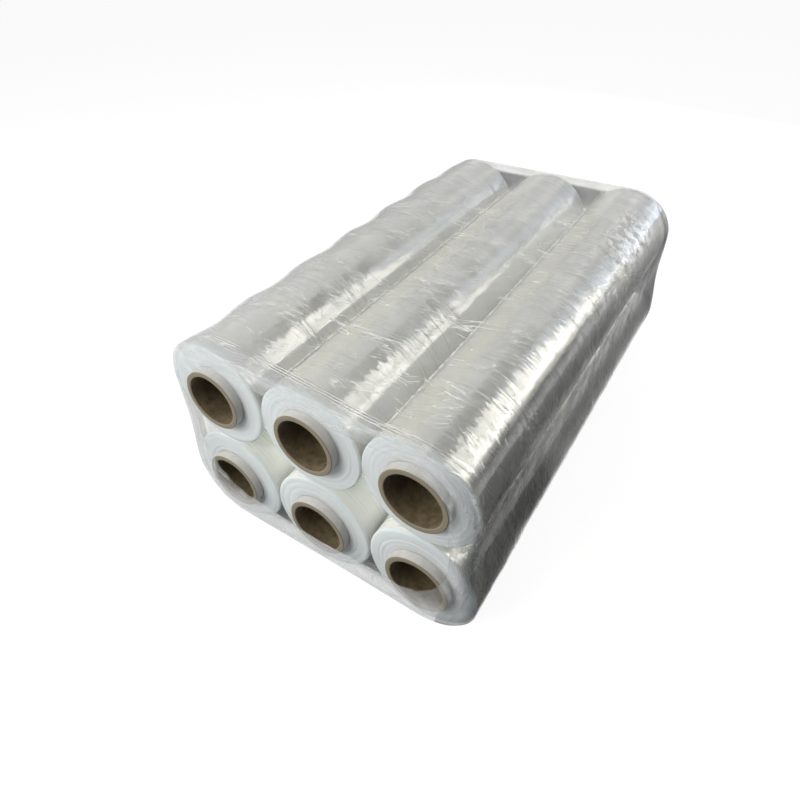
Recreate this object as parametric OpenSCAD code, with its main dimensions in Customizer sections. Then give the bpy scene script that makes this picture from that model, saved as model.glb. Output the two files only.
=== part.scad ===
// Six rolls of stretch film on cardboard cores, two rows of three, bound into one shipping pack by
// turns of clear film. The rolls lie along Y with their front ends towards -Y. X is the width of the
// pack and Z its height. The origin is the middle of the underside. All sizes are in millimetres.

/* [Core] */
// Inside diameter of each cardboard core
core_bore = 51; // [40:0.5:60]
// Wall of the core's wound board
core_wall = 5; // [3:0.5:7]
// How far each end of a core stands out of the film
core_overhang = 8; // [5:0.5:14]
// Bevel round the cut ends of a core
core_bevel = 0.6; // [0.2:0.1:1.2]

/* [Film roll] */
// Width of the film, which is the length of each roll
film_width = 500; // [300:10:600]
// Outside diameter of a full roll
roll_d = 104.8; // [100:0.2:130]
// Play between a core and the film wound on it
core_play = 0.05; // [0.02:0.01:0.1]
// Play between neighbouring rolls
roll_play = 0.2; // [0.1:0.05:1]
// Groups of turns that show as rings on a roll's end
turn_groups = 14; // [6:1:20]
// Most that a group of turns lies back from the roll's end
turn_step = 0.7; // [0.2:0.1:1.5]
// Bands along a roll in which the turns were wound tighter
roll_bands = 11; // [3:1:16]
// Most that a tight band lies below the roll's full size
band_depth = 0.35; // [0.1:0.05:0.8]
// Rounding of the outermost turns at a roll's ends
roll_edge = 1.2; // [0.5:0.1:2]

/* [Outer wrap] */
// Thickness of the wrap's turns, pressed together
wrap_t = 0.5; // [0.3:0.1:0.9]
// Play between the rolls and the wrap
wrap_play = 0.15; // [0.12:0.01:0.5]
// How deep the wrap sinks between two rolls
valley_sag = 2.5; // [0:0.5:5]
// Height of the slack folds along the pack's upper corners
slack_h = 5; // [0:0.1:6]
// Distance from one slack fold to the next
slack_wave = 80; // [50:5:150]
// Height of the ribs that run round the sleeve
rib_h = 0.5; // [0:0.1:1]
// Least that the sleeve runs past the rolls' ends before it turns in
rim_out = 1.5; // [1.3:0.1:3]
// How much further the sleeve runs at the pack's upper right front corner
rim_skew = 3.5; // [0:0.5:4.5]
// Radius of the fold where the sleeve turns in
rim_r = 2; // [1:0.1:3]
// Play between the lips and the ends of the cores
lip_play = 0.4; // [0.3:0.1:1]

/* [Wrap ends] */
// Width of the front lip along the top
lip_top = 14; // [8:1:18]
// Width of the front lip along the bottom
lip_bottom = 37; // [30:1:42]
// Width of the front lip at the left
lip_left = 25; // [20:1:40]
// Width of the front lip at the right
lip_right = 21; // [18:1:40]
// Radius of the upper corners of the opening in the front end
opening_top_r = 40; // [30:1:50]
// Radius of its lower corners
opening_low_r = 57; // [45:1:65]
// Width of the lip all round the back end
lip_back = 14; // [8:1:18]
// How much further the back lip reaches in between two rolls
back_scallop = 30; // [0:1:34]
// Height of the gathers where a lip is drawn in round a corner
gather_h = 1.3; // [0:0.1:2]
// Gathers round each corner
gathers = 4; // [2:1:6]
// How far the lips' free edges wander
edge_wave = 1.2; // [0:0.1:3]

/* [Hidden] */
$fn = 96;

core_r = core_bore / 2 + core_wall;
core_end = film_width / 2 + core_overhang;
film_end = film_width / 2;
film_bore_r = core_r + core_play;
roll_r = roll_d / 2;
pitch = roll_d + roll_play;
corner_r = roll_r + wrap_play + wrap_t;
low = corner_r;
high = corner_r + pitch;
left = -pitch;
middle = 0;
right = pitch;

board_brown = [0.60, 0.54, 0.45];
film_white = [0.84, 0.87, 0.88];
wrap_clear = [0.80, 0.81, 0.81, 0.35];

// Length of the slope between two bands, and the half step that keeps a chord outside its arc
band_slope = 5;
arc_steps = 12;
chord_lift = 1 / cos(45 / arc_steps);
// Distance over which a lip climbs from the rim to the plane of the core ends
climb_play = 2.5;
climb = roll_r - core_r - climb_play;

function mix(a, b, t) = a + (b - a) * t;
function clip(t) = max(0, min(1, t));
function ease(t) = let (c = clip(t)) c * (2 - c);
// A fixed spread of values from 0 to 1, one for each count and seed
function scatter(i, seed) = let (s = 43.7 * sin(127.1 * i + 311.7 * seed)) s - floor(s);

// Puts a solid of revolution along Y with its axis at x, z
module along_y(x, z) {
    translate([x, 0, z]) rotate([-90, 0, 0]) children();
}

module core(x, z) {
    inner = core_bore / 2;
    color(board_brown) along_y(x, z) rotate_extrude() polygon([
        [inner, -core_end + core_bevel], [inner + core_bevel, -core_end],
        [core_r - core_bevel, -core_end], [core_r, -core_end + core_bevel],
        [core_r, core_end - core_bevel], [core_r - core_bevel, core_end],
        [inner + core_bevel, core_end], [inner, core_end - core_bevel]]);
}

// One end of a roll's section, from the core outwards: each group of turns lies back by its own step
function roll_end(side, seed) = [
    for (g = [0 : turn_groups - 1], outer = [0, 1])
        let (
            reach = mix(film_bore_r, roll_r - roll_edge, (g + outer) / turn_groups),
            back = turn_step * scatter(g, seed + side)
        )
        [reach, side * (film_end - back)]];

// The outside of a roll's section, from its back end to its front end, a little smaller at tight bands
function roll_side(seed) = [
    for (b = [roll_bands - 1 : -1 : 0], edge = [1, 0])
        let (
            sunk = band_depth * scatter(b, seed + 5),
            slope = edge == 0 && b == 0 || edge == 1 && b == roll_bands - 1 ? roll_edge : band_slope / 2,
            y = mix(-film_end, film_end, (b + edge) / roll_bands) + (edge == 0 ? slope : -slope)
        )
        [roll_r - sunk, y]];

module film_roll(x, z, seed) {
    front = roll_end(-1, seed);
    back = roll_end(1, seed);
    back_inwards = [for (i = [len(back) - 1 : -1 : 0]) back[i]];
    side_forwards = roll_side(seed);
    side_backwards = [for (i = [len(side_forwards) - 1 : -1 : 0]) side_forwards[i]];
    color(film_white) along_y(x, z) rotate_extrude() polygon(concat(front, side_backwards, back_inwards));
}

module core_top_left() { core(left, high); }
module core_top_middle() { core(middle, high); }
module core_top_right() { core(right, high); }
module core_bottom_left() { core(left, low); }
module core_bottom_middle() { core(middle, low); }
module core_bottom_right() { core(right, low); }

module film_top_left() { film_roll(left, high, 1); }
module film_top_middle() { film_roll(middle, high, 2); }
module film_top_right() { film_roll(right, high, 3); }
module film_bottom_left() { film_roll(left, low, 4); }
module film_bottom_middle() { film_roll(middle, low, 6); }
module film_bottom_right() { film_roll(right, low, 7); }

// The wrap is a grid of points. One way goes round the pack, anticlockwise from the right as seen from
// the front: a spot is [corner it follows, share of the way to the next corner, angle of its normal].
// The other way goes along a section: in over the front lip, round the rim, down the sleeve and in
// over the back lip.
side_steps = [12, 6, 12, 6];
spots = [for (k = [0 : 3]) each concat(
    [for (i = [0 : arc_steps]) [k, 0, 90 * k + 90 * i / arc_steps]],
    [for (i = [1 : side_steps[k] - 1]) [k, i / side_steps[k], 90 * (k + 1)]])];

roll_corners = [[right, high], [left, high], [left, low], [right, low]];
opening_left = -pitch - corner_r + lip_left;
opening_right = pitch + corner_r - lip_right;
opening_high = high + corner_r - lip_top;
// Middles of the opening's rounded corners, each with its radius
opening_corners = [
    [opening_right - opening_top_r, opening_high - opening_top_r, opening_top_r],
    [opening_left + opening_top_r, opening_high - opening_top_r, opening_top_r],
    [opening_left + opening_low_r, lip_bottom + opening_low_r, opening_low_r],
    [opening_right - opening_low_r, lip_bottom + opening_low_r, opening_low_r]];

function base(spot, corners) = mix(corners[spot[0]], corners[(spot[0] + 1) % 4], spot[1]);
function normal(spot) = [cos(spot[2]), sin(spot[2])];
function on_arc(spot) = spot[1] == 0;
function arc_share(spot) = (spot[2] - 90 * spot[0]) / 90;
function inner_arc(spot) = on_arc(spot) && arc_share(spot) > 0 && arc_share(spot) < 1;

// 1 midway between two rolls, and 0 over the middle of a roll
function between(spot) = on_arc(spot) ? 0 : pow(sin((spot[0] % 2 == 0 ? 360 : 180) * spot[1]), 2);

// Height of the sleeve above its tight form: sunk between rolls, and raised by ribs and slack folds.
// The underside lies flat on the floor. Ribs, and the sag of the top, end at the rims. The sag of the
// two sides runs on over both rims, and the slack folds over the front one.
function off_floor(spot) = clip((sin(spot[2]) + 0.9) * 2);
function fade(y) = 1 - pow(abs(y) / film_end, 4);
function sag(spot, y) =
    spot[0] == 2 ? 0 : valley_sag * between(spot) * (spot[0] % 2 == 1 ? 1 : fade(y));
function slack(spot, y) =
    !on_arc(spot) || spot[0] > 1 ? 0
    : slack_h * (spot[0] == 1 ? 1 : 0.5) * pow(sin(180 * arc_share(spot)), 2)
        * (0.7 + 0.3 * sin(360 * y / slack_wave + 120 * spot[0])) * (y < 0 ? 1 : fade(y));
function rib(y) = rib_h * fade(y) * (0.5 + 0.3 * sin(5.3 * y) + 0.2 * sin(11 * y + 60));
function lift(spot, y) = off_floor(spot) * (slack(spot, y) + rib(y) - sag(spot, y));

// The skew is full at the upper right and gone at the left and at the underside
function skew_share(spot) =
    let (at = base(spot, roll_corners))
    clip((at[0] + pitch) / (2 * pitch)) * clip((at[1] - low) / pitch);
function rim_y(spot, side) = film_end + rim_out + (side < 0 ? rim_skew * skew_share(spot) : 0);

// A lip's free edge: the opening's rounded outline, wandering a little
function wander(spot, side) = edge_wave * (0.6 * sin(3 * spot[2] + 200 * spot[1] + 50 * side)
    + 0.4 * sin(5 * spot[2] + 360 * spot[1]));
function front_edge(spot) =
    let (corner = base(spot, opening_corners))
    [corner[0], corner[1]] + normal(spot) * (corner[2] + wander(spot, -1));
function back_edge(spot) = base(spot, roll_corners)
    + normal(spot) * (corner_r - lip_back - back_scallop * between(spot) + wander(spot, 1) / 2);
function rim_edge(spot, side) =
    base(spot, roll_corners) + normal(spot) * (corner_r - wrap_t + lift(spot, side * film_end));

// Gathers stand out of a lip where it is drawn in round a corner
function gather(spot, share) =
    on_arc(spot) ? gather_h * share * pow(sin(180 * gathers * arc_share(spot)), 2) : 0;

// The lip's inner face at a share of the way from the rim to its free edge, and its outer face there
function lip_point(spot, side, share, outward) =
    let (
        rim = rim_edge(spot, side),
        edge = side < 0 ? front_edge(spot) : back_edge(spot),
        in = norm(edge - rim) * share,
        plane = mix(rim_y(spot, side), core_end + lip_play, ease(in / climb)),
        at = mix(rim, edge, share),
        y = plane + gather(spot, share) + (outward ? wrap_t : 0)
    )
    [at[0], side * y, at[1]];

// A point of the rim's fold, at an angle from the sleeve (0) to the lip (90)
function rim_point(spot, side, angle, outward) =
    let (
        fold = rim_r + (outward ? wrap_t : 0),
        in = rim_r - fold * cos(angle),
        y = rim_y(spot, side) - rim_r + fold * sin(angle),
        arc_lift = inner_arc(spot) ? chord_lift : 1,
        reach = (corner_r - wrap_t) * arc_lift + lift(spot, side * film_end) - in,
        at = base(spot, roll_corners) + normal(spot) * reach
    )
    [at[0], side * y, at[1]];

function sleeve_point(spot, y, outward) =
    let (
        arc_lift = inner_arc(spot) ? chord_lift : 1,
        reach = (corner_r - wrap_t) * arc_lift + lift(spot, y) + (outward ? wrap_t : 0),
        at = base(spot, roll_corners) + normal(spot) * reach
    )
    [at[0], y, at[1]];

front_shares = [1, 0.8, 0.6, 0.42, 0.26, 0.13];
back_shares = [0.2, 0.45, 0.72, 1];
fold_angles = [66, 33, 0];
sleeve_steps = 20;

function section(spot, outward) = concat(
    [for (share = front_shares) lip_point(spot, -1, share, outward)],
    [for (angle = fold_angles) rim_point(spot, -1, angle, outward)],
    [for (i = [1 : sleeve_steps - 1])
        sleeve_point(spot, mix(-film_end, film_end, i / sleeve_steps), outward)],
    [for (i = [2 : -1 : 0]) rim_point(spot, 1, fold_angles[i], outward)],
    [for (share = back_shares) lip_point(spot, 1, share, outward)]);

module outer_wrap() {
    outer = [for (spot = spots) section(spot, true)];
    inner = [for (spot = spots) section(spot, false)];
    round_n = len(spots);
    along_n = len(outer[0]);
    grid_n = round_n * along_n;
    points = concat([for (row = outer) each row], [for (row = inner) each row]);
    function at(i, j) = (i % round_n) * along_n + j;
    skin = [for (i = [0 : round_n - 1], j = [0 : along_n - 2]) each [
        [at(i, j), at(i, j + 1), at(i + 1, j + 1)], [at(i, j), at(i + 1, j + 1), at(i + 1, j)],
        [grid_n + at(i, j), grid_n + at(i + 1, j + 1), grid_n + at(i, j + 1)],
        [grid_n + at(i, j), grid_n + at(i + 1, j), grid_n + at(i + 1, j + 1)]]];
    last = along_n - 1;
    edges = [for (i = [0 : round_n - 1]) each [
        [at(i, 0), at(i + 1, 0), grid_n + at(i + 1, 0)], [at(i, 0), grid_n + at(i + 1, 0), grid_n + at(i, 0)],
        [at(i, last), grid_n + at(i + 1, last), at(i + 1, last)],
        [at(i, last), grid_n + at(i, last), grid_n + at(i + 1, last)]]];
    color(wrap_clear) polyhedron(points, concat(skin, edges));
}

core_top_left();
core_top_middle();
core_top_right();
core_bottom_left();
core_bottom_middle();
core_bottom_right();
film_top_left();
film_top_middle();
film_top_right();
film_bottom_left();
film_bottom_middle();
film_bottom_right();
outer_wrap();
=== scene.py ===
"""A shipping pack of six stretch film rolls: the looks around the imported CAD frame.

Y runs along the rolls with the front at -Y, X across the pack and Z up, in metres.
The wound film, the cores and the outer wrap are made again as finer surfaces at the CAD's own sizes.
"""

import math

import bpy
import numpy as np
from mathutils import Matrix, Vector


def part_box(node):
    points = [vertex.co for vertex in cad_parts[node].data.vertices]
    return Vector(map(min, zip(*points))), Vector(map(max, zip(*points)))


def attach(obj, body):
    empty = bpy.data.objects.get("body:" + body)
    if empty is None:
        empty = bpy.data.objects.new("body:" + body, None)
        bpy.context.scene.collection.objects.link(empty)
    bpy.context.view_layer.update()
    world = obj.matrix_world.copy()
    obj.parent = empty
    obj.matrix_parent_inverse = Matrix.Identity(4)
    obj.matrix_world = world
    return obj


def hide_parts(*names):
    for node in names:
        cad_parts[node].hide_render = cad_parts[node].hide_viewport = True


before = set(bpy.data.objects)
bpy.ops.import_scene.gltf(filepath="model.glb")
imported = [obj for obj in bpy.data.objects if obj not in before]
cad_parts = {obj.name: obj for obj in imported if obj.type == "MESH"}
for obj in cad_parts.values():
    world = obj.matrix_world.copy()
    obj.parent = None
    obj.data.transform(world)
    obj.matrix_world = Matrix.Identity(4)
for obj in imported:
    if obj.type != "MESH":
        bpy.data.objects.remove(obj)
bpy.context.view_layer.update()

MM = 0.001
TAU = 2 * math.pi


# ---- sizes taken from the CAD ----

PLACES = ("top_left", "top_middle", "top_right", "bottom_left", "bottom_middle", "bottom_right")


def axis_of(node):
    """The x and z of a round piece's axis, which is the middle of its box."""
    low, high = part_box(node)
    return (low.x + high.x) / 2, (low.z + high.z) / 2


AXES = {place: axis_of("core_" + place) for place in PLACES}
CORE_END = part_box("core_top_left")[1].y
CORE_R = (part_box("core_top_left")[1].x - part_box("core_top_left")[0].x) / 2
FILM_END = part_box("film_top_left")[1].y
ROLL_R = (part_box("film_top_left")[1].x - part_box("film_top_left")[0].x) / 2
PITCH = AXES["top_right"][0] - AXES["top_middle"][0]
LOW = AXES["bottom_middle"][1]
HIGH = AXES["top_middle"][1]
MIDDLE_Z = (LOW + HIGH) / 2
CORE_WALL = 5 * MM
CORE_PLAY = 0.05 * MM
SLEEVE_R = LOW
QUARTER = SLEEVE_R * math.pi / 2
# Distances round the wrap from the middle of its underside: where the flat top starts and ends
TOP_RIGHT = 2 * PITCH + 2 * QUARTER
TOP_LEFT = 4 * PITCH + 2 * QUARTER
# and where the top sheet comes down on the left shoulders of the middle and the right roll
VALLEYS = (TOP_RIGHT + 129.4 * MM, TOP_RIGHT + 28.4 * MM)
# Distance along the wrap's section from its front rim to its rear rim
SLEEVE_LENGTH = 504 * MM


# ---- mesh making ----

def scatter(count, seed):
    """A fixed spread of values from 0 to 1."""
    return np.random.default_rng(seed).random(count)


def smooth_noise(length, spacing, seed, samples):
    """A smooth random line from -1 to 1, read at samples. Its values at this spacing are blended smoothly."""
    count = int(length / spacing) + 3
    values = 2 * scatter(count, seed) - 1
    at = np.clip(samples / spacing, 0, count - 1.001)
    i = at.astype(int)
    t = (1 - np.cos((at - i) * math.pi)) / 2
    return values[i] * (1 - t) + values[i + 1] * t


def put_in(name, data):
    """A new object with this data in the scene."""
    piece = bpy.data.objects.new(name, data)
    bpy.context.scene.collection.objects.link(piece)
    return piece


def flat_sheet(name, corners, material):
    """One four-cornered face."""
    mesh = bpy.data.meshes.new(name)
    mesh.from_pydata(corners, [], [(0, 1, 2, 3)])
    mesh.materials.append(material)
    return put_in(name, mesh)


def ring_mesh(name, points, u, v, materials, bands=None):
    """A mesh from a grid of points closed both ways: points[j, i] for row j and column i.

    u has one value more than there are columns and v one more than there are rows, so that the map
    runs on over both seams. bands gives each row of faces its material's number.
    """
    rows, columns = points.shape[:2]
    j, i = np.meshgrid(np.arange(rows), np.arange(columns), indexing="ij")
    j2, i2 = (j + 1) % rows, (i + 1) % columns
    faces = np.stack([j * columns + i, j * columns + i2, j2 * columns + i2, j2 * columns + i], axis=-1)
    faces = faces.reshape(-1, 4)
    mesh = bpy.data.meshes.new(name)
    mesh.from_pydata(points.reshape(-1, 3), [], faces)
    uv = np.stack([
        np.stack([u[i], v[j]], -1), np.stack([u[i + 1], v[j]], -1),
        np.stack([u[i + 1], v[j + 1]], -1), np.stack([u[i], v[j + 1]], -1)], axis=2)
    layer = mesh.uv_layers.new(name="UVMap")
    layer.data.foreach_set("uv", uv.astype(np.float32).ravel())
    for material in materials:
        mesh.materials.append(material)
    if bands is not None:
        numbers = np.repeat(np.asarray(bands, dtype=np.int32), columns)
        mesh.polygons.foreach_set("material_index", numbers)
    mesh.polygons.foreach_set("use_smooth", np.ones(len(faces), dtype=bool))
    mesh.update()
    mesh.validate()
    return put_in(name, mesh)


def keep(piece, node):
    """The piece rides on the pack's one body and stands for its CAD node, which it hides."""
    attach(piece, "root")
    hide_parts(node)


# ---- materials ----

def linear(code):
    """An sRGB hex colour as linear RGBA."""
    parts = [int(code[k:k + 2], 16) / 255 for k in (1, 3, 5)]
    return tuple(c / 12.92 if c <= 0.04045 else ((c + 0.055) / 1.055) ** 2.4 for c in parts) + (1.0,)


def add(tree, kind, inputs=None, **settings):
    """Adds a node. inputs gives an input's name or number a socket to link or a value to hold."""
    node = tree.nodes.new(kind)
    for key, value in settings.items():
        setattr(node, key, value)
    for key, value in (inputs or {}).items():
        if isinstance(value, bpy.types.NodeSocket):
            tree.links.new(value, node.inputs[key])
        else:
            node.inputs[key].default_value = value
    return node


def new_material(name):
    """An empty node material and its tree."""
    material = bpy.data.materials.new(name)
    material.use_nodes = True
    material.node_tree.nodes.clear()
    return material, material.node_tree


def finish_material(tree, inputs):
    """The material's one shader, with these inputs, as its surface."""
    shader = add(tree, "ShaderNodeBsdfPrincipled", inputs)
    add(tree, "ShaderNodeOutputMaterial", {"Surface": shader.outputs[0]})


def map_place(tree):
    """The place on the piece's map, as a vector: metres round the piece and metres along its section."""
    return add(tree, "ShaderNodeUVMap", uv_map="UVMap").outputs[0]


def object_place(tree):
    """The place in the pack's own frame, as a vector."""
    return add(tree, "ShaderNodeTexCoord").outputs["Object"]


def parts_of(tree, vector):
    """A vector's x, y and z."""
    return list(add(tree, "ShaderNodeSeparateXYZ", {0: vector}).outputs)


def noise(tree, place, scale, detail=2.0):
    """A noise value of the place. scale is the count of its grains in a metre, one way or three ways."""
    if isinstance(scale, tuple):
        place = add(tree, "ShaderNodeMapping", {"Vector": place, "Scale": scale}).outputs[0]
        scale = 1.0
    return add(tree, "ShaderNodeTexNoise", {"Vector": place, "Scale": scale, "Detail": detail}).outputs[0]


def line_noise(tree, value, scale, detail):
    """A noise value along one length or angle."""
    return add(tree, "ShaderNodeTexNoise", {
        "W": value, "Scale": scale, "Detail": detail}, noise_dimensions="1D").outputs[0]


def sums(tree, operation, first, second=0.0, third=0.0):
    """One step of arithmetic on values."""
    return add(tree, "ShaderNodeMath", {0: first, 1: second, 2: third}, operation=operation).outputs[0]


def product(tree, *values):
    """The values multiplied together."""
    result = values[0]
    for value in values[1:]:
        result = sums(tree, "MULTIPLY", result, value)
    return result


def strongest(tree, *values):
    """The highest of the values."""
    result = values[0]
    for value in values[1:]:
        result = sums(tree, "MAXIMUM", result, value)
    return result


def part_way(tree, share, low, high):
    """A value between two, each a number or a socket."""
    return add(tree, "ShaderNodeMix", {0: share, 2: low, 3: high}).outputs[0]


def span(tree, value, low, high, to_low=0.0, to_high=1.0, kind="SMOOTHSTEP"):
    """A value carried from one range to another, smoothly or in a straight line, without leaving it."""
    return add(tree, "ShaderNodeMapRange", {
        "Value": value, "From Min": low, "From Max": high, "To Min": to_low, "To Max": to_high},
        interpolation_type=kind).outputs[0]


def soft_band(tree, value, middle, width):
    """1 in the middle of a band of values, and 0 from half its width away."""
    away = sums(tree, "ABSOLUTE", sums(tree, "SUBTRACT", value, middle))
    return span(tree, away, width * 0.2, width * 0.5, 1.0, 0.0)


def level_line(tree, value, width):
    """1 where a noise passes its middle value, and 0 from a small difference away: a thin winding line."""
    away = sums(tree, "ABSOLUTE", sums(tree, "SUBTRACT", value, 0.5))
    return span(tree, away, 0.0, width, 1.0, 0.0)


def swing(tree, value, size):
    """A noise from 0 to 1 as a slope to both sides: size from one end of it to the other."""
    return sums(tree, "MULTIPLY_ADD", value, size, -size / 2)


def blend(tree, share, low, high):
    """A colour between two, each a hex code or a socket."""
    low, high = (linear(c) if isinstance(c, str) else c for c in (low, high))
    return add(tree, "ShaderNodeMix", {0: share, 6: low, 7: high}, data_type="RGBA").outputs[2]


def bumped(tree, height, strength, depth):
    """The normal of a surface that this height roughens."""
    return add(tree, "ShaderNodeBump", {"Height": height, "Strength": strength, "Distance": depth}).outputs[0]


def tilted(tree, around, along):
    """The surface's normal leaned by two slopes: one round the roll and one along it."""
    normal = add(tree, "ShaderNodeNewGeometry").outputs["Normal"]
    across = add(tree, "ShaderNodeVectorMath", {0: (0, 1, 0), 1: normal}, operation="CROSS_PRODUCT")
    first = add(tree, "ShaderNodeVectorMath", {0: across.outputs[0], "Scale": around}, operation="SCALE")
    second = add(tree, "ShaderNodeCombineXYZ", {"Y": along})
    lean = add(tree, "ShaderNodeVectorMath", {0: first.outputs[0], 1: second.outputs[0]}, operation="ADD")
    both = add(tree, "ShaderNodeVectorMath", {0: normal, 1: lean.outputs[0]}, operation="ADD")
    return add(tree, "ShaderNodeVectorMath", {0: both.outputs[0]}, operation="NORMALIZE").outputs[0]


def wound_film_side():
    """LLDPE stretch film wound many turns deep, seen through its outer turns.

    Each turn reflects a little, so the pile of them shines like a silvery mirror over a milky white
    depth: the coat is that shine. Ropes of tighter film run round the roll every few millimetres. They
    fray the edges of each highlight, and fine creases and threads cross it as dark lines. The threads
    thin the coat, and the creases lean it and are painted darker, a painted shade along each crease.
    """
    material, tree = new_material("wound stretch film side")
    uv = map_place(tree)
    # ropes 7 mm apart that run on for 100 mm round the roll, and frays 2.5 mm apart and 70 mm long
    ropes = noise(tree, uv, (10, 145, 1), 2.0)
    frays = noise(tree, uv, (14, 400, 1), 3.0)
    # slow waves 25 mm long where the turns lie looser
    waves = noise(tree, uv, (10, 40, 1), 1.0)
    # creases 0.7 mm wide, in the looser stretches only
    crease = product(tree, level_line(tree, noise(tree, uv, (9, 230, 1), 1.0), 0.045),
                     span(tree, noise(tree, uv, (12, 30, 1), 1.0), 0.42, 0.56))
    # threads 0.8 mm wide and 3 mm apart, where the edge of a turn breaks the shine
    thread = product(tree, level_line(tree, noise(tree, uv, (7, 330, 1), 1.0), 0.12),
                     span(tree, noise(tree, uv, (25, 60, 1), 2.0), 0.4, 0.6, 0.15, 1.0))
    # the ropes stand out on the shoulder. The sheet above presses the crown and the valley smooth
    rise = parts_of(tree, add(tree, "ShaderNodeNewGeometry").outputs["Normal"])[2]
    around = product(
        tree, sums(tree, "ADD", swing(tree, ropes, 0.2), swing(tree, frays, 0.5)),
        span(tree, rise, 0.6, 0.85, 0.1, 1.0), span(tree, rise, 0.9, 0.98, 1.0, 0.4))
    along = swing(tree, waves, 0.1)
    along_crease = sums(tree, "MULTIPLY_ADD", crease, 0.8, along)
    shade = blend(tree, span(tree, waves, 0.35, 0.65), "#D2D2D0", "#DADAD6")
    # between the rows the film is painted paler: painted light standing in for the light that comes through
    # the rolls' milky depth
    x, _, z = parts_of(tree, object_place(tree))
    inside = product(tree, soft_band(tree, z, MIDDLE_Z, 95 * MM), soft_band(tree, x, 0.0, 420 * MM))
    shade = blend(tree, inside, shade, "#F3F5F0")
    # the creases are painted darker as well: a painted shade along each crease
    shade = blend(tree, product(tree, crease, 0.3), shade, "#A4A4A0")
    finish_material(tree, {
        "Base Color": shade, "Roughness": 0.3, "Normal": tilted(tree, product(tree, around, 0.12), along),
        "Coat Weight": sums(tree, "MULTIPLY_ADD", thread, -0.3, 1.0), "Coat Roughness": 0.05, "Coat IOR": 2.5,
        "Coat Normal": tilted(tree, around, along_crease),
        "Subsurface Weight": 0.5, "Subsurface Radius": (1.0, 1.0, 0.85), "Subsurface Scale": 25 * MM})
    return material


def wound_film_end():
    """The cut edges of many hundred turns of the film, milky and bluish, with soft rings."""
    material, tree = new_material("wound stretch film end")
    _, radius, _ = parts_of(tree, map_place(tree))
    # rings 1 to 3 mm wide
    rings = line_noise(tree, radius, 420.0, 2.0)
    ring_shade = blend(tree, span(tree, rings, 0.35, 0.65, kind="LINEAR"), "#D9DFE3", "#DEE4E8")
    # the outermost 9 mm let light through and look a little darker and bluer
    rim = span(tree, radius, ROLL_R - 9 * MM, ROLL_R - 1 * MM)
    finish_material(tree, {
        "Base Color": blend(tree, rim, ring_shade, "#D8E2E5"), "Normal": bumped(tree, rings, 0.2, 0.3 * MM),
        "Roughness": 0.42, "IOR": 1.5,
        "Subsurface Weight": 0.6, "Subsurface Radius": (0.9, 1.0, 1.0), "Subsurface Scale": 22 * MM})
    return material


def board_fibres(tree):
    """Short paper fibres 0.4 to 1 mm across, as a value."""
    return noise(tree, object_place(tree), 1400.0, 3.0)


def core_bore():
    """Grey-brown core board, spiral wound: the inner ply with its fibres and the seam between its turns."""
    material, tree = new_material("core board, inner ply")
    around, along, _ = parts_of(tree, map_place(tree))
    fibres = board_fibres(tree)
    # the seam climbs one strip's width in one turn of the bore, which is 160 mm round
    strip_width, bore_round = 0.095, 0.160
    climb = sums(tree, "MULTIPLY_ADD", around, strip_width / bore_round, along)
    strip = sums(tree, "PINGPONG", climb, strip_width)
    seam = span(tree, strip, 0.0, 0.7 * MM, 1.0, 0.0, kind="LINEAR")
    # mottling 6 mm across, where the paper took up more of the glue
    mottle = add(tree, "ShaderNodeTexNoise", {
        "Vector": object_place(tree), "Scale": 160.0, "Detail": 4.0, "Roughness": 0.6}).outputs[0]
    both = sums(tree, "ADD", fibres, mottle)
    brown = blend(tree, span(tree, both, 0.75, 1.25, kind="LINEAR"), "#4B4130", "#74664F")
    finish_material(tree, {
        "Base Color": blend(tree, seam, brown, "#A8967E"), "Normal": bumped(tree, fibres, 0.3, 0.2 * MM),
        "Roughness": 0.75})
    return material


def core_cut_end():
    """The sawn end of the core: the edges of its plies as fine rings."""
    material, tree = new_material("core board, sawn end")
    _, radius, _ = parts_of(tree, map_place(tree))
    # plies 0.5 mm thick
    plies = line_noise(tree, radius, 2200.0, 1.0)
    finish_material(tree, {
        "Base Color": blend(tree, plies, "#746B5B", "#9E9481"),
        "Normal": bumped(tree, board_fibres(tree), 0.4, 0.2 * MM), "Roughness": 0.8})
    return material


def core_outside():
    """The outer ply of the core where it stands out of the film, under a few milky turns of film."""
    material, tree = new_material("core board under film")
    clouds = noise(tree, object_place(tree), 220.0, 2.0)
    finish_material(tree, {
        "Base Color": blend(tree, clouds, "#B8B5B2", "#D0CECB"),
        "Normal": bumped(tree, clouds, 0.2, 0.3 * MM), "Roughness": 0.4, "Coat Weight": 0.3})
    return material


def hairs(tree, uv, turn, size, width, where):
    """Hair creases as a value: the level lines of a stretched noise, kept where another noise is high.

    turn is their lean in degrees, size their count in a metre the two ways and width their share of it.
    """
    turned_uv = add(tree, "ShaderNodeMapping", {
        "Vector": uv, "Rotation": (0, 0, math.radians(turn)), "Location": (turn, where, 0)}).outputs[0]
    kept = span(tree, noise(tree, turned_uv, (22, 40, 1), 1.0), where, where + 0.1)
    return product(tree, level_line(tree, noise(tree, turned_uv, (*size, 1), 2.0), width), kept)


def hair_creases(tree, uv, around, along, in_front, clear_end):
    """The hairs of the whole wrap: 30 to 80 mm long, leaning both ways off the way round.

    They are finer in reality, and are drawn 0.8 mm wide so that they show.
    """
    lines = strongest(
        tree, hairs(tree, uv, 8, (11, 150), 0.028, 0.53), hairs(tree, uv, -14, (13, 170), 0.028, 0.55),
        hairs(tree, uv, 34, (14, 120), 0.02, 0.56))
    lines = product(tree, lines, sums(tree, "MULTIPLY_ADD", in_front, -0.5, 0.8),
                    span(tree, along, 140 * MM, 300 * MM, 1.0, 0.6))
    # and more of them down the right side, where the film was pulled tight last
    more = strongest(tree, hairs(tree, uv, 20, (13, 160), 0.035, 0.45),
                     hairs(tree, uv, -26, (15, 150), 0.035, 0.48))
    on_right = soft_band(tree, around, TOP_RIGHT - 118 * MM, 190 * MM)
    return product(tree, strongest(tree, lines, product(tree, more, on_right, 0.55)), clear_end)


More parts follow.
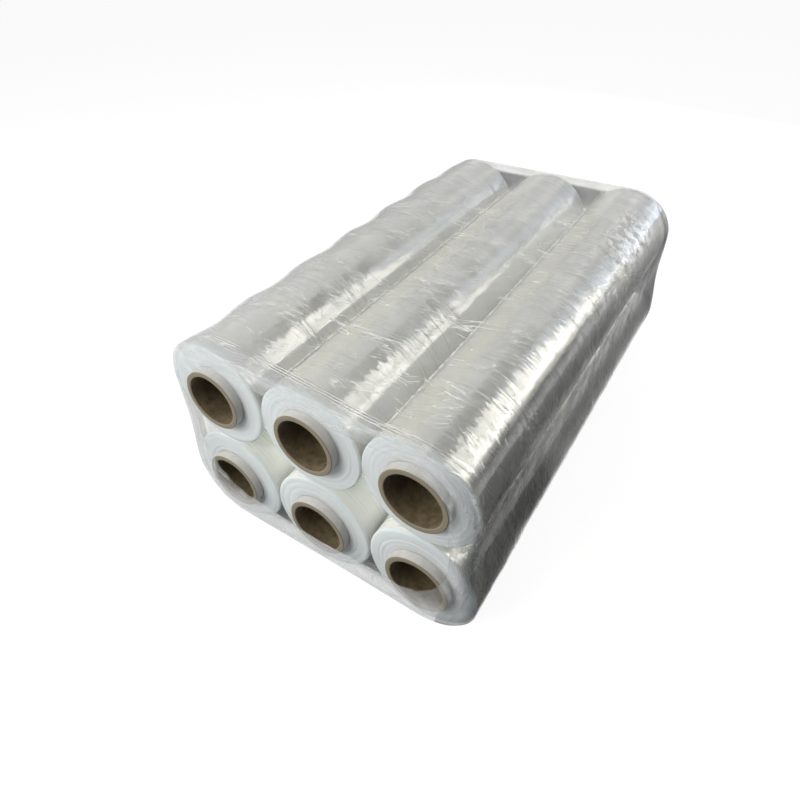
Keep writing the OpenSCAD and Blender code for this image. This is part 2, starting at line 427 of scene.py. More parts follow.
def fan(tree, uv, u, v, reach, count):
    """Folds that run out of one point of the wrap like a fan: a noise of the angle round that point."""
    place = add(tree, "ShaderNodeVectorMath", {0: uv, 1: (u, v, 0)}, operation="SUBTRACT").outputs[0]
    away_round, away_along, _ = parts_of(tree, place)
    folds = line_noise(tree, sums(tree, "ARCTAN2", away_along, away_round), count / TAU, 2.0)
    away = add(tree, "ShaderNodeVectorMath", {0: place}, operation="LENGTH").outputs["Value"]
    return folds, span(tree, away, reach * 0.2, reach, 1.0, 0.0)


def crumpled_places(tree, uv, around, along):
    """Two fans of folds on the right side and a crinkled patch of loose plies near the rear, as a value.

    The second value is 1 near the rear fan, where the film is crumpled most.
    """
    folds, by_folds = fan(tree, uv, TOP_RIGHT - 52 * MM, 328 * MM, 85 * MM, 90)
    folds_low, by_folds_low = fan(tree, uv, TOP_RIGHT - 112 * MM, 150 * MM, 60 * MM, 80)
    fans = sums(tree, "ADD", product(tree, span(tree, folds, 0.54, 0.66), by_folds),
                product(tree, span(tree, folds_low, 0.56, 0.68), by_folds_low))
    crinkles = product(
        tree, span(tree, noise(tree, uv, (120, 110, 1), 4.0), 0.42, 0.56),
        soft_band(tree, around, TOP_RIGHT - 36 * MM, 66 * MM), soft_band(tree, along, 390 * MM, 150 * MM))
    return strongest(tree, fans, crinkles), by_folds


def front_crease(tree, uv, around, along):
    """The crease behind the front rim, where the top sheet's plies end.

    It lies back from the rim at the left of the top and on it at the right. The values are the distance
    past it, the share in front of it, and its plies' edges painted as a bright highlight and a dark shade.
    """
    crease_at = span(tree, around, TOP_RIGHT, TOP_LEFT, 1.0 * MM, 14 * MM)
    crease_at = sums(tree, "MULTIPLY_ADD", noise(tree, uv, (30, 0, 0), 2.0), 2 * MM, crease_at)
    past = sums(tree, "SUBTRACT", along, crease_at)
    in_front = span(tree, past, -2.5 * MM, 1.5 * MM, 1.0, 0.0)
    # three plies' edges. They lie 1 mm apart, and are drawn 2.6 mm apart so that they show
    drawn_apart = 2.6 * MM
    plies = sums(tree, "SINE", sums(tree, "MULTIPLY", past, TAU / drawn_apart))
    near = product(
        tree, span(tree, past, -0.5 * MM, 0.5 * MM), span(tree, past, 6.5 * MM, 8 * MM, 1.0, 0.0),
        span(tree, around, TOP_RIGHT - 40 * MM, TOP_RIGHT),
        span(tree, around, TOP_LEFT - 15 * MM, TOP_LEFT + 30 * MM, 1.0, 0.0),
        span(tree, noise(tree, uv, (28, 90, 1), 2.0), 0.35, 0.6, 0.3, 1.0))
    # each ply's edge is painted bright on one side and dark on the other: a painted highlight and a painted
    # shade
    bright, dark = (product(tree, span(tree, plies, *edge), near) for edge in ((0.3, 0.9), (-0.4, -0.9)))
    return past, in_front, bright, dark


def touch_lines(tree, uv, around, along, out_of_lip, clear_end):
    """Where the top sheet touches a left shoulder: a broken painted highlight, and a painted shade beside it
    over that roll.
    """
    line, shade = (
        strongest(tree, *[soft_band(tree, around, valley - aside, width) for valley in VALLEYS])
        for aside, width in ((0.0, 2 * MM), (2.4 * MM, 3 * MM)))
    bright = product(tree, line, span(tree, noise(tree, uv, (0, 90, 0), 3.0), 0.4, 0.62, 0.1, 0.8),
                     span(tree, along, 30 * MM, 330 * MM, 0.8, 0.3), out_of_lip)
    return bright, product(tree, shade, out_of_lip, clear_end)


def clear_wrap():
    """Clear LLDPE film stretched round the pack, a few turns thick.

    A single turn only dims what lies behind it. Folded over itself in the lips and the rims it turns
    milky. Creases in it catch the light as white hairs: inside a fold the light is turned back as by a
    mirror, which is why they shine like metal.
    """
    material, tree = new_material("clear stretch wrap")
    uv = map_place(tree)
    around, along, _ = parts_of(tree, uv)
    x, _, z = parts_of(tree, object_place(tree))
    past, in_front, painted_ply_highlight, painted_ply_shade = front_crease(tree, uv, around, along)
    out_of_lip = sums(tree, "SUBTRACT", 1.0, in_front)
    # the hairs and the haze end before the rear rim
    clear_end = span(tree, along, 400 * MM, 450 * MM, 1.0, 0.15)
    painted_touch_highlight, painted_touch_shade = touch_lines(tree, uv, around, along, out_of_lip, clear_end)

    # the front lip is milky. It lies in more plies at the foot, and thickest between the two left rolls
    foot = span(tree, z, 28 * MM, 58 * MM, 1.0, 0.0)
    left_gap = product(tree, span(tree, x, -132 * MM, -124 * MM, 1.0, 0.0),
                       soft_band(tree, z, MIDDLE_Z, 110 * MM))
    lip = strongest(tree, span(tree, along, -26 * MM, -2 * MM, 0.06, 0.36), product(tree, foot, 0.3),
                    product(tree, left_gap, 0.3))
    lip = product(tree, lip, in_front)
    # the front lip is painted darker towards its right: painted shade where less light falls
    painted_shade_right_front = span(tree, x, 112 * MM, 148 * MM)
    # the rear lip is painted dark grey behind the rolls, a painted shade, but its fold at the top is left
    # pale
    rear = product(tree, span(tree, along, SLEEVE_LENGTH - 16 * MM, SLEEVE_LENGTH - 8 * MM),
                   span(tree, z, HIGH + 36 * MM, HIGH + 42 * MM, 1.0, 0.12))
    # where the top sheet comes down on the left shoulder of a roll its plies lie apart and look hazy, and the
    # film there is painted paler: painted light that brightens the valley below
    shoulder = strongest(tree, *[soft_band(tree, around, valley - 9 * MM, 38 * MM) for valley in VALLEYS])
    shoulder = product(tree, shoulder, out_of_lip)
    shoulder_veil = product(tree, span(tree, along, 180 * MM, 380 * MM, 0.22, 0.42), clear_end)
    # to the rear the plies over the right flanks of the left and the middle roll lie apart as well, and are
    # painted pale: haze and painted light in those valleys
    over_left, over_middle = (soft_band(tree, around, valley + 14 * MM, 44 * MM) for valley in VALLEYS)
    hazy_flank_painted_light = product(tree, strongest(tree, over_middle, product(tree, over_left, 0.4)),
                    span(tree, along, 60 * MM, 380 * MM, 0.45, 1.0), out_of_lip, clear_end)
    # over the left edge of the top the film stands off in slack folds, and hangs hazy between the left rolls
    slack = product(tree, soft_band(tree, around, TOP_LEFT + 0.5 * QUARTER, 1.1 * QUARTER), out_of_lip)
    slack_veil = span(tree, along, 60 * MM, 380 * MM, 0.3, 0.5)
    left_wall = product(tree, soft_band(tree, around, TOP_LEFT + QUARTER + 0.5 * PITCH, 110 * MM),
                        span(tree, along, 50 * MM, 90 * MM, 1.0, 0.0), out_of_lip)
    # underneath, the pack's own shade is painted into the film as a dark grey
    under = product(tree, span(tree, z, 4 * MM, 14 * MM, 1.0, 0.0), span(tree, along, 5 * MM, 16 * MM))
    # next to the front crease the top sheet lies in more plies too
    by_crease = product(tree, span(tree, past, 10 * MM, 75 * MM, 1.0, 0.0), out_of_lip)
    # on the right side the film is painted dark grey over the gap between the rows: painted shade
    right = soft_band(tree, around, TOP_RIGHT - 140 * MM, 80 * MM)
    # and over the right roll's shoulder a dark band is painted in: painted shade that takes some of the shine
    # away
    painted_dim_shoulder = product(tree, soft_band(tree, around, TOP_RIGHT - 42 * MM, 20 * MM), out_of_lip)
    veil = strongest(tree, lip, *[product(tree, share, strength) for share, strength in (
        (rear, 0.58), (shoulder, shoulder_veil), (hazy_flank_painted_light, 0.36), (right, 0.15), (painted_dim_shoulder, 0.1),
        (slack, slack_veil), (left_wall, 0.22), (under, 0.75), (by_crease, 0.14))])
    haze = span(tree, noise(tree, uv, (30, 30, 1), 3.0), 0.35, 0.7, 0.04, 0.14)
    veil = sums(tree, "ADD", haze, veil)

    lines = hair_creases(tree, uv, around, along, in_front, clear_end)
    shiny = product(tree, lines, 0.8)
    crumpled, by_folds = crumpled_places(tree, uv, around, along)
    # the fans and the crinkles are painted white, partly the milky film of the folds and partly painted
    # highlights; the plies' bright edges and the touch lines are painted highlights
    lines = strongest(tree, lines, product(tree, crumpled, 0.9), painted_ply_highlight, painted_touch_highlight)
    # the ply edges' and the touch lines' painted shade, drawn violet grey
    painted_dark_lines = strongest(tree, painted_ply_shade, product(tree, painted_touch_shade, 0.6))
    alpha = add(tree, "ShaderNodeMath", {
        0: strongest(tree, veil, product(tree, painted_dark_lines, 0.6)), 1: product(tree, lines, 0.75)},
        operation="ADD", use_clamp=True).outputs[0]
    shade = blend(tree, in_front, "#C4C5C2", blend(tree, painted_shade_right_front, "#C8CBCE", "#A6ABAF"))
    for share, code in (
            (product(tree, left_gap, in_front), "#C6C7CA"), (strongest(tree, by_crease, slack), "#C6C6C6"),
            (shoulder, "#D6D6CA"), (hazy_flank_painted_light, "#E6E7E2"), (left_wall, "#CBCBCC"), (under, "#77787A"),
            (strongest(tree, right, painted_dim_shoulder), "#6C7074"), (rear, "#6E7072"), (painted_dark_lines, "#8A8694"),
            (lines, "#FAFAF8")):
        shade = blend(tree, share, shade, code)
    # the film between the hairs is crumpled: facets 6 mm across, strongest by the fan at the rear
    strength = sums(tree, "MULTIPLY_ADD", by_folds, 1.6, sums(tree, "MULTIPLY_ADD", in_front, -0.09, 0.12))
    lean, lean_along = (
        product(tree, sums(tree, "SUBTRACT", noise(tree, uv, size, 2.0), 0.5), strength)
        for size in ((90, 130, 1), (60, 190, 1)))
    finish_material(tree, {
        "Base Color": shade, "Alpha": alpha, "Normal": tilted(tree, lean, lean_along),
        "Metallic": shiny, "Roughness": span(tree, lines, 0.0, 1.0, 0.14, 0.45),
        "IOR": 1.5, "Specular IOR Level": 1.0, "Coat Weight": 1.0, "Coat Roughness": 0.05})
    return material


# ---- pieces ----

def turned(profile, axis, columns):
    """Turns a profile of [radius, y] about the line along Y through axis.

    A column's angle starts pointing down, so that the seam of the map lies underneath.
    """
    angle = -math.pi / 2 + TAU * np.arange(columns) / columns
    r, y = profile[:, 0, None], profile[:, 1, None]
    return np.stack([axis[0] + r * np.cos(angle), y + 0 * angle, axis[1] + r * np.sin(angle)], axis=-1)


END_RINGS, SIDE_STEPS, ROLL_COLUMNS = 60, 210, 144
# The rounded edge of a roll: its radius and its three rows of points, as angles
EDGE_R = 2.4 * MM
EDGE_TURNS = np.radians([22, 45, 67])
# The rows of points of one end and its rounded edge
END_ROWS = END_RINGS + len(EDGE_TURNS)
# Groups of turns step in at the ends: half the steps' depth and their spacing over the radius
END_DEPTH, END_SPACING = 0.35 * MM, 2.2 * MM
# The side dips in along the roll: half of each dip's depth, its spacing and its own random line
SIDE_DIPS = ((0.17 * MM, 28 * MM, 0), (0.05 * MM, 7 * MM, 1))
CORE_STEPS, CORE_RINGS, CORE_COLUMNS = 40, 8, 128
SAWN_BEVEL = 0.6 * MM


def film_roll(place, seed, side_film, end_film):
    """One roll of film: an end that steps in groups of turns, a rounded edge and a side with ropes.

    The end's depth is a smooth random line over the radius. The side's radius falls below the full
    one by the sum of two random lines along the roll.
    """
    reach = np.linspace(CORE_R + CORE_PLAY, ROLL_R - EDGE_R, END_RINGS)
    back = [END_DEPTH * (1 + smooth_noise(ROLL_R, END_SPACING, seed + end, reach)) for end in (100, 200)]
    y = np.linspace(-FILM_END + EDGE_R, FILM_END - EDGE_R, SIDE_STEPS)
    sunk = sum(depth * (1 + smooth_noise(1.0, spacing, seed + line, y + FILM_END))
               for depth, spacing, line in SIDE_DIPS)
    front = np.stack([reach, -FILM_END + back[0]], axis=-1)
    rear = np.stack([reach, FILM_END - back[1]], axis=-1)[::-1]
    outside = np.stack([ROLL_R - sunk, y], axis=-1)
    soft = EDGE_R * np.stack([np.sin(EDGE_TURNS) - 1, 1 - np.cos(EDGE_TURNS)], axis=-1)

    def corner(at, sign):
        """The rounded edge at one end, from its face outwards. sign is -1 at the front and 1 at the rear."""
        return np.stack([at + soft[:, 0], sign * (FILM_END - soft[:, 1])], axis=-1)

    profile = np.concatenate([
        front, corner(outside[0, 0], -1), outside, corner(outside[-1, 0], 1)[::-1], rear])
    points = turned(profile, AXES[place], ROLL_COLUMNS)
    # each roll reads its own part of the patterns, 0.5 m on from the last
    u = 0.5 * seed + TAU * ROLL_R * np.arange(ROLL_COLUMNS + 1) / ROLL_COLUMNS
    # the map's second value is the radius on the ends and y on the side
    v = np.concatenate([profile[:, 0], profile[:1, 0]])
    v[END_ROWS:END_ROWS + SIDE_STEPS] = profile[END_ROWS:END_ROWS + SIDE_STEPS, 1]
    bands = np.zeros(len(profile), dtype=int)
    bands[:END_ROWS] = bands[-END_ROWS - 1:] = 1
    piece = ring_mesh("film_roll_" + place, points, u, v, [side_film, end_film], bands)
    keep(piece, "film_" + place)


def core(place, boards):
    """One core: a tube whose sawn ends have a small bevel. boards are its bore, its ends and its outside."""
    inner = CORE_R - CORE_WALL
    y = np.linspace(CORE_END - SAWN_BEVEL, -CORE_END + SAWN_BEVEL, CORE_STEPS)
    ring = np.linspace(inner + SAWN_BEVEL, CORE_R - SAWN_BEVEL, CORE_RINGS)
    bore = np.stack([np.full(CORE_STEPS, inner), y], axis=-1)
    front = np.stack([ring, np.full(CORE_RINGS, -CORE_END)], axis=-1)
    outside = np.stack([np.full(CORE_STEPS, CORE_R), y[::-1]], axis=-1)
    rear = np.stack([ring[::-1], np.full(CORE_RINGS, CORE_END)], axis=-1)
    profile = np.concatenate([bore, front, outside, rear])
    u = TAU * inner * np.arange(CORE_COLUMNS + 1) / CORE_COLUMNS
    v = np.concatenate([y, ring, y[::-1], ring[::-1], y[:1]])
    bands = np.repeat([0, 1, 2, 1], [CORE_STEPS - 1, CORE_RINGS + 1, CORE_STEPS - 1, CORE_RINGS + 1])
    points = turned(profile, AXES[place], CORE_COLUMNS)
    piece = ring_mesh("core_tube_" + place, points, u, v, boards, bands)
    keep(piece, "core_" + place)


# ---- the outer wrap ----

# The front lip's width on its four sides and its opening's corner radii
LIP_TOP, LIP_BOTTOM, LIP_LEFT, LIP_RIGHT = 14 * MM, 37 * MM, 25 * MM, 21 * MM
OPENING_TOP_R, OPENING_LOW_R = 40 * MM, 57 * MM
# The rear lip's width over a roll and how much wider it is between two
LIP_BACK, BACK_DEEPER = 14 * MM, 30 * MM
# The rim's fold: how far past the film it lies, how much further at the front's top right, and its radius
RIM_OUT, RIM_SKEW, RIM_R = 1.5 * MM, 3.5 * MM, 2 * MM
# The CAD's wrap is this thick. The visual one is thinner and keeps the CAD's outside
CAD_SHELL, SHELL = 0.5 * MM, 0.15 * MM
# The gap between a core's end and the lip
LIP_PLAY = 0.4 * MM
VALLEY_SAG = 2.5 * MM
# Slack folds round the top's two long edges: the height of the left one's and the length of their waves
SLACK, SLACK_WAVE = 5 * MM, 80 * MM
# The stretch of each edge, its share of that height and where its wave starts, in degrees
SLACK_FOLDS = ((3, 0.5, 0), (5, 1.0, 120))
# Fine ribs along the wrap: their height and the turn of their two waves, in degrees for each metre
RIB, RIB_TURN, FINE_RIB_TURN = 0.5 * MM, 5300, 11000
# The lip's gathers and how far its free edge wanders
GATHER, WANDER = 0.95 * MM, 1.2 * MM
# The front opening's edge lies in by this much at each stop of the round, and more at its lower corners
OPENING_IN = np.array([0, 5, 2, 0, 0, 0, 0, 3, 8, 0]) * MM
LOW_CORNER_IN = 2 * MM
# The lip lies flat on the cores' ends once it has climbed in this far from the rim
CLIMB = ROLL_R - CORE_R - 2.5 * MM
# The stretches round the pack from the middle of its underside anticlockwise: the flat sides, and a
# quarter turn round each corner roll between them. The angles are those of the wrap's normal
ROUND_LENGTHS = [PITCH, QUARTER, PITCH, QUARTER, 2 * PITCH, QUARTER, PITCH, QUARTER, PITCH]
ROUND_STOPS = np.concatenate([[0], np.cumsum(ROUND_LENGTHS)])
ROUND_ANGLES = np.radians([-90, -90, 0, 0, 90, 90, 180, 180, 270, 270])
# Which stretches are the corners, the right and the left side, the top and the underside's two halves
CORNERS, UPRIGHTS, TOP, UNDERSIDES = (1, 3, 5, 7), (2, 6), 4, (0, 8)
WRAP_COLUMNS = 288
# Rows of points on the front lip, a rim, the sleeve and the rear lip
FRONT_LIP_ROWS, SLEEVE_ROWS, REAR_LIP_ROWS = 14, 112, 8
RIM_TURNS = np.radians([75, 55, 35, 15])


def skeleton(way, corners):
    """The middles of the corners, from the lower right one anticlockwise, and the lines between them."""
    (x1, z1), (x2, z2), (x3, z3), (x4, z4) = corners
    x = np.interp(way, ROUND_STOPS, [(x1 + x4) / 2, x1, x1, x2, x2, x3, x3, x4, x4, (x1 + x4) / 2])
    z = np.interp(way, ROUND_STOPS, [z1, z1, z1, z2, z2, z3, z3, z4, z4, z1])
    return np.stack([x, z], axis=-1)


def share_between(way, k):
    """The share of the way along stretch k of the round, from 0 to 1, and 0 outside it."""
    share = (way - ROUND_STOPS[k]) / ROUND_LENGTHS[k]
    return np.where((share >= 0) & (share <= 1), share, 0)


def humps(way, stretches, count=1):
    """Smooth humps from 0 to 1 and back: count of them along each of these stretches of the round."""
    return sum(np.sin(count * math.pi * share_between(way, k)) ** 2 for k in stretches)


def outer_wrap(film):
    """The clear sleeve: an outer and an inner face, joined at the free edges of the two lips.

    Round the pack a point is the skeleton plus its normal times a reach. Along a section the face comes
    in over the front lip, round the rim's fold, down the sleeve, and in over the back lip.
    """
    way = ROUND_STOPS[-1] * np.arange(WRAP_COLUMNS) / WRAP_COLUMNS
    angle = np.interp(way, ROUND_STOPS, ROUND_ANGLES)
    normal = np.stack([np.cos(angle), np.sin(angle)], axis=-1)
    axis = skeleton(way, [(PITCH, LOW), (PITCH, HIGH), (-PITCH, HIGH), (-PITCH, LOW)])
    left, right = -PITCH - SLEEVE_R + LIP_LEFT, PITCH + SLEEVE_R - LIP_RIGHT
    top = HIGH + SLEEVE_R - LIP_TOP
    opening = skeleton(way, [
        (right - OPENING_LOW_R, LIP_BOTTOM + OPENING_LOW_R), (right - OPENING_TOP_R, top - OPENING_TOP_R),
        (left + OPENING_TOP_R, top - OPENING_TOP_R), (left + OPENING_LOW_R, LIP_BOTTOM + OPENING_LOW_R)])
    radii = [OPENING_LOW_R] * 3 + [OPENING_TOP_R] * 4 + [OPENING_LOW_R] * 3
    opening_r = np.interp(way, ROUND_STOPS, radii)
    low_corners = CORNERS[0], CORNERS[-1]
    deeper = np.interp(way, ROUND_STOPS, OPENING_IN) + LOW_CORNER_IN * humps(way, low_corners)
    # 0 underneath, and 1 from a little way up the lower corners on
    off_floor = np.clip((np.sin(angle) + 0.9) * 2, 0, 1)
    # 1 midway between two rolls and 0 over the middle of a roll
    by_side, by_top = humps(way, UPRIGHTS), humps(way, [TOP], 2)
    between_rolls = by_side + by_top + humps(way, UNDERSIDES)
    # from 0 at the left or the foot to 1 at the top right
    skew = np.clip((axis[:, 0] + PITCH) / (2 * PITCH), 0, 1) * np.clip((axis[:, 1] - LOW) / PITCH, 0, 1)
    gathers = humps(way, CORNERS, 4)
    # how far along its flat side a point lies, from 0 to 1
    share = sum(share_between(way, k) for k in (2, 4, 6)) + np.where(
        way < PITCH, 0.5 + way / (2 * PITCH), share_between(way, 8) / 2) * (
            (way < PITCH) | (way > ROUND_STOPS[8]))

    def lift(y):
        """Height above the tight form: slack folds, ribs and the sag between two rolls."""
        fade = 1 - (abs(y) / FILM_END) ** 4
        slack = sum(
            size * humps(way, [k]) * (0.7 + 0.3 * math.sin(TAU * y / SLACK_WAVE + math.radians(phase)))
            for k, size, phase in SLACK_FOLDS)
        rib = (0.5 + 0.3 * math.sin(math.radians(RIB_TURN * y))
               + 0.2 * math.sin(math.radians(FINE_RIB_TURN * y + 60)))
        sag = by_side + by_top * fade
        return off_floor * (SLACK * slack * (1 if y < 0 else fade) + RIB * rib * fade - VALLEY_SAG * sag)

    def sleeve_row(y, depth):
        """The round at y. depth is how far inside the outer face it lies."""
        at = axis + normal * (SLEEVE_R + lift(y) - depth)[:, None]
        return np.stack([at[:, 0], np.full(len(way), y), at[:, 1]], axis=-1)

    def rim_y(side):
        """Where the fold's end lies. side is -1 at the front and 1 at the rear."""
        return FILM_END + RIM_OUT + (RIM_SKEW * skew if side < 0 else 0)

    def rim_row(side, turn, depth):
        """The round at one angle of the rim's fold: 0 next to the sleeve, and a right angle by the lip."""
        fold = RIM_R + CAD_SHELL - depth
        reach = SLEEVE_R + lift(side * FILM_END) - CAD_SHELL - RIM_R + fold * math.cos(turn)
        y = rim_y(side) - RIM_R + fold * math.sin(turn)
        at = axis + normal * reach[:, None]
        return np.stack([at[:, 0], side * y + 0 * way, at[:, 1]], axis=-1)

    def lip_row(side, step, depth):
        """The round at a share of the way from the rim to the lip's free edge."""
        rim = axis + normal * (SLEEVE_R - CAD_SHELL + lift(side * FILM_END))[:, None]
        wander = WANDER * (0.6 * np.sin(3 * angle + TAU * share + math.radians(50 * side))
                           + 0.4 * np.sin(5 * angle + TAU * share))
        if side < 0:
            edge = opening + normal * (opening_r - deeper + wander)[:, None]
        else:
            edge = axis + normal * (SLEEVE_R - LIP_BACK - BACK_DEEPER * between_rolls + wander / 2)[:, None]
        t = np.clip(np.linalg.norm(edge - rim, axis=1) * step / CLIMB, 0, 1)
        y = rim_y(side) + (CORE_END + LIP_PLAY - rim_y(side)) * t * (2 - t)
        y = y + GATHER * gathers * step + CAD_SHELL - depth
        at = rim + (edge - rim) * step
        return np.stack([at[:, 0], side * y, at[:, 1]], axis=-1)

    def face(depth):
        """All rows from the front lip's free edge to the rear lip's."""
        first_step = 0.08
        rows = [lip_row(-1, step, depth) for step in np.linspace(1, first_step, FRONT_LIP_ROWS)]
        rows += [rim_row(-1, turn, depth) for turn in RIM_TURNS]
        rows += [sleeve_row(y, depth) for y in np.linspace(-FILM_END, FILM_END, SLEEVE_ROWS)]
        rows += [rim_row(1, turn, depth) for turn in RIM_TURNS[::-1]]
        rows += [lip_row(1, step, depth) for step in np.linspace(first_step, 1, REAR_LIP_ROWS)]
        return np.array(rows)

    outer, inner = face(0.0), face(SHELL)
    points = np.concatenate([outer, inner[::-1]])
    # along the map v is 0 at the front rim's fold, and below 0 on the front lip
    steps = np.linalg.norm(np.diff(outer, axis=0), axis=2).mean(axis=1)
    v = np.concatenate([[0], np.cumsum(steps)])
    v = v - v[FRONT_LIP_ROWS + 1]
    v = np.concatenate([v, v[::-1], v[:1]])
    u = ROUND_STOPS[-1] * np.arange(WRAP_COLUMNS + 1) / WRAP_COLUMNS
    piece = ring_mesh("wrap_sleeve", points, u, v, [film])
    # clear film passes on the light that its haze scatters, so it casts no shadow on the rolls
    piece.visible_shadow = False
    keep(piece, "outer_wrap")


film_side, film_end = wound_film_side(), wound_film_end()
core_boards = [core_bore(), core_cut_end(), core_outside()]
for number, place in enumerate(PLACES):
    film_roll(place, 10 * number + 1, film_side, film_end)
    core(place, core_boards)
outer_wrap(clear_wrap())


# ---- floor, lamps and camera ----

def shown_white(tree):
    """1 for rays that show the background: from the camera, a reflection or a clear film."""
    path = add(tree, "ShaderNodeLightPath").outputs
    return strongest(tree, path["Is Camera Ray"], path["Is Glossy Ray"], path["Is Transmission Ray"])


def white_floor():
    """A white sweep: its own light makes it white for the camera, and its matt part keeps the shadow."""
    material, tree = new_material("white paper sweep")
    matt = add(tree, "ShaderNodeBsdfDiffuse", {"Color": linear("#808080")})
    strength = product(tree, shown_white(tree), 0.92)
    glow = add(tree, "ShaderNodeEmission", {"Color": WHITE, "Strength": strength})
    both = add(tree, "ShaderNodeAddShader", {0: matt.outputs[0], 1: glow.outputs[0]})
    add(tree, "ShaderNodeOutputMaterial", {"Surface": both.outputs[0]})
    floor = flat_sheet("floor", level_corners(0, *FLOOR_ENDS, *FLOOR_ENDS), material)


def soft_world(left, right):
    """A white room for the camera and reflections, which lights matt surfaces more from the left."""
    world = bpy.data.worlds.new("white room")
    bpy.context.scene.world = world
    world.use_nodes = True
    tree = world.node_tree
    tree.nodes.clear()
    to_right, _, _ = parts_of(tree, add(tree, "ShaderNodeTexCoord").outputs["Generated"])
    matt = span(tree, to_right, -0.3, 0.6, left, right)
    level = span(tree, shown_white(tree), 0.0, 1.0, matt, 1.0, kind="LINEAR")
    glow = add(tree, "ShaderNodeBackground", {"Color": WHITE, "Strength": level})
    add(tree, "ShaderNodeOutputWorld", {"Surface": glow.outputs[0]})


def towards(azimuth, elevation):
    """The unit direction at an azimuth from +Y towards +X and an elevation, in degrees."""
    a, e = math.radians(azimuth), math.radians(elevation)
    return Vector((math.sin(a) * math.cos(e), math.cos(a) * math.cos(e), math.sin(e)))


def lamp(name, place, facing, width, height, radiance, colour="#FFFFFF"):
    """A soft box at a place, facing a way, that reflections don't see. Its face has the stated radiance."""
    data = bpy.data.lights.new(name, "AREA")
    data.shape = "RECTANGLE"
    data.size, data.size_y = width, height
    data.energy = radiance * math.pi * width * height
    data.color = linear(colour)[:3]
    box = put_in(name, data)
    box.location = place
    box.rotation_mode = "QUATERNION"
    box.rotation_quaternion = Vector(facing).to_track_quat("-Z", "Y")
    box.visible_camera = box.visible_glossy = False


def lamp_at(name, azimuth, elevation, distance, *face):
    """A soft box that faces the top row's middle from this direction and distance."""
    way = towards(azimuth, elevation)
    lamp(name, Vector((0, 0, HIGH)) + way * distance, -way, *face)


def card(name, corners, shade):
    """A card that only reflections see. shade works out its strength and colour from its x, y and z."""
    material, tree = new_material(name)
    strength, colour = shade(tree, *parts_of(tree, object_place(tree)))
    glow = add(tree, "ShaderNodeEmission", {"Color": colour, "Strength": strength})
    add(tree, "ShaderNodeOutputMaterial", {"Surface": glow.outputs[0]})
    piece = flat_sheet(name, corners, material)
    piece.visible_camera = piece.visible_diffuse = piece.visible_shadow = piece.visible_transmission = False


# The photograph's bands lie at one angle all along each roll, so the window's edges run along Y too
WINDOW_X, WINDOW_FRONT, WINDOW_LOW, WINDOW_HIGH = 0.75, 0.1, 0.28, 1.63
# The cards of the floor and the ceiling start here on the left, and run from FRONT to REAR
FLOOR_LEFT, CEILING_LEFT = 0.12, -0.08
FRONT, REAR = -1.0, 3.6
LEFT_WALL_X, LEFT_WALL_FRONT, LEFT_WALL_REAR, LEFT_WALL_HIGH = -1.5, -2.0, 6.0, 1.3
FLOOR_ENDS = (-30.0, 30.0)
# The floor's card lies a little above the floor
FLOOR_CARD_Z = 2 * MM
WHITE = linear("#FFFFFF")


def window_light(tree, x, y, z):
    """The window: brightest over its lower middle, and past its front half a dimmer bluish sky."""
    foot = span(tree, y, 0.4, 0.9, 1.0, 3.8)
    low = part_way(tree, span(tree, z, 0.34, 0.5), foot, 8.4)
    front = part_way(tree, span(tree, z, 0.52, 0.75), low, 4.3)
    dim = part_way(tree, span(tree, z, 0.5, 0.65), 4.4, span(tree, z, 0.8, 0.95, 2.4, 1.7))
    dim = sums(tree, "SUBTRACT", dim, span(tree, y, 1.9, 2.6, 0.0, 0.6))
    past = span(tree, y, 1.0, 1.1)
    return part_way(tree, past, front, dim), blend(tree, past, "#FFFDF2", "#E6EEF9")


def floor_shade(tree, x, y, z):
    """Pale next to the pack, then the pack's own soft shade, then a floor that gets paler to the rear."""
    near = span(tree, y, -0.06, 0.0, 0.0, 0.25)
    body = part_way(tree, span(tree, x, 0.2, 0.3), near, span(tree, y, 0.1, 1.1, 0.06, 0.9))
    strip = span(tree, y, -0.19, -0.12, 0.25, 1.0)
    return part_way(tree, span(tree, x, 0.150, 0.185), strip, body), WHITE


def wall_shade(tree, x, y, z):
    """The wall under the window: pale at its foot, dark under the sill in front, and pale at the rear."""
    return part_way(tree, span(tree, y, 0.5, 1.2), span(tree, z, 0.02, 0.26, 0.95, 0.1), 1.4), WHITE


def ceiling_shade(tree, x, y, z):
    """The ceiling: dark in front, paler to the rear and darkest by the window."""
    return product(tree, span(tree, y, 0.9, 2.2, 0.03, 1.4), span(tree, x, 0.25, 0.6, 1.1, 0.7)), WHITE


def left_shade(tree, x, y, z):
    """A grey wall on the left, paler at the top and to the rear, which the crowns of the rolls reflect."""
    return sums(tree, "ADD", span(tree, z, 0.3, 1.3, 0.58, 1.2), span(tree, y, 1.5, 3.5, 0.0, 0.2)), WHITE


def wall_corners(x, front, rear, low, high):
    """The corners of an upright card that runs along Y."""
    return [(x, front, low), (x, rear, low), (x, rear, high), (x, front, high)]


def level_corners(z, left, right, front=FRONT, rear=REAR):
    """The corners of a level card from the front to the rear."""
    return [(left, front, z), (right, front, z), (right, rear, z), (left, rear, z)]


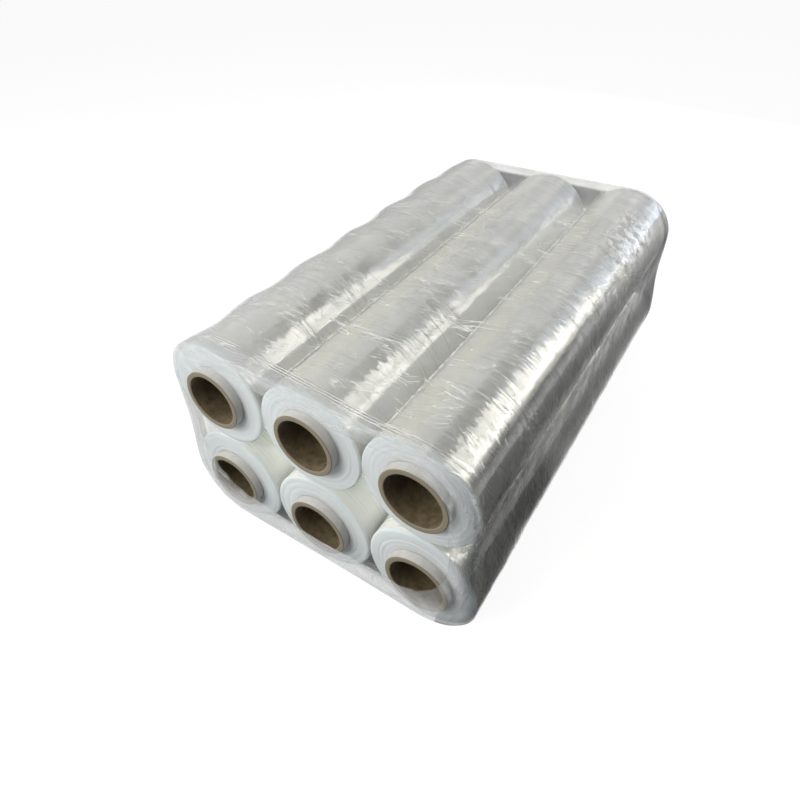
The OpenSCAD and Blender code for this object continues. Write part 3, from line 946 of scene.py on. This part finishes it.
white_floor()
soft_world(0.17, 0.06)
lamp_at("left_key", 226, 20, 1.6, 1.2, 1.0, 2.4)
lamp_at("front_key", 198, 34, 1.5, 0.7, 0.7, 7.8, "#FFFFF8")
lamp_at("back_light", 10, 12, 1.3, 0.8, 0.5, 5.0)
lamp("ceiling_light", (-0.2, 0.2, 2.3), (0.1, 0, -1), 2.4, 3.0, 0.25, "#FFFFFA")
# the light that the milky rolls let through into the two channels between the rows
for channel, x in (("left", -PITCH / 2), ("right", PITCH / 2)):
    lamp("channel_" + channel, (x, -0.13, MIDDLE_Z), (0, -1, 0), 20 * MM, 20 * MM, 32.0)
card("window", wall_corners(WINDOW_X, WINDOW_FRONT, REAR, WINDOW_LOW, WINDOW_HIGH), window_light)
card("wall_under_window", wall_corners(WINDOW_X, FRONT, REAR, 0, WINDOW_LOW), wall_shade)
card("floor_by_window", level_corners(FLOOR_CARD_Z, FLOOR_LEFT, WINDOW_X), floor_shade)
card("ceiling", level_corners(WINDOW_HIGH, CEILING_LEFT, WINDOW_X), ceiling_shade)
card("wall_left", wall_corners(LEFT_WALL_X, LEFT_WALL_FRONT, LEFT_WALL_REAR, 0, LEFT_WALL_HIGH), left_shade)


def photo_camera():
    """The camera fitted to the six core ends and the outline of the pack in the photograph."""
    azimuth, elevation, roll = math.radians(34.696), math.radians(35.346), math.radians(-2.536)
    target = Vector((0.101265, -0.258, 0.313762))
    distance = 0.35906
    focal_px, frame_px, middle_px = 616.754, 800, 326.111
    back = Vector((math.sin(azimuth) * math.cos(elevation), -math.cos(azimuth) * math.cos(elevation),
                   math.sin(elevation)))
    level = Vector((math.cos(azimuth), math.sin(azimuth), 0))
    above = back.cross(level)
    right = level * math.cos(roll) + above * math.sin(roll)
    up = above * math.cos(roll) - level * math.sin(roll)
    data = bpy.data.cameras.new("photo camera")
    data.sensor_width = 36
    data.lens = focal_px / frame_px * data.sensor_width
    data.shift_y = (middle_px - frame_px / 2) / frame_px
    data.clip_start = 0.01
    camera = put_in("photo camera", data)
    turn = Matrix((right, up, back)).transposed().to_4x4()
    camera.matrix_world = Matrix.Translation(target + back * distance) @ turn
    bpy.context.scene.camera = camera


photo_camera()
bpy.context.scene.view_settings.view_transform = "Standard"
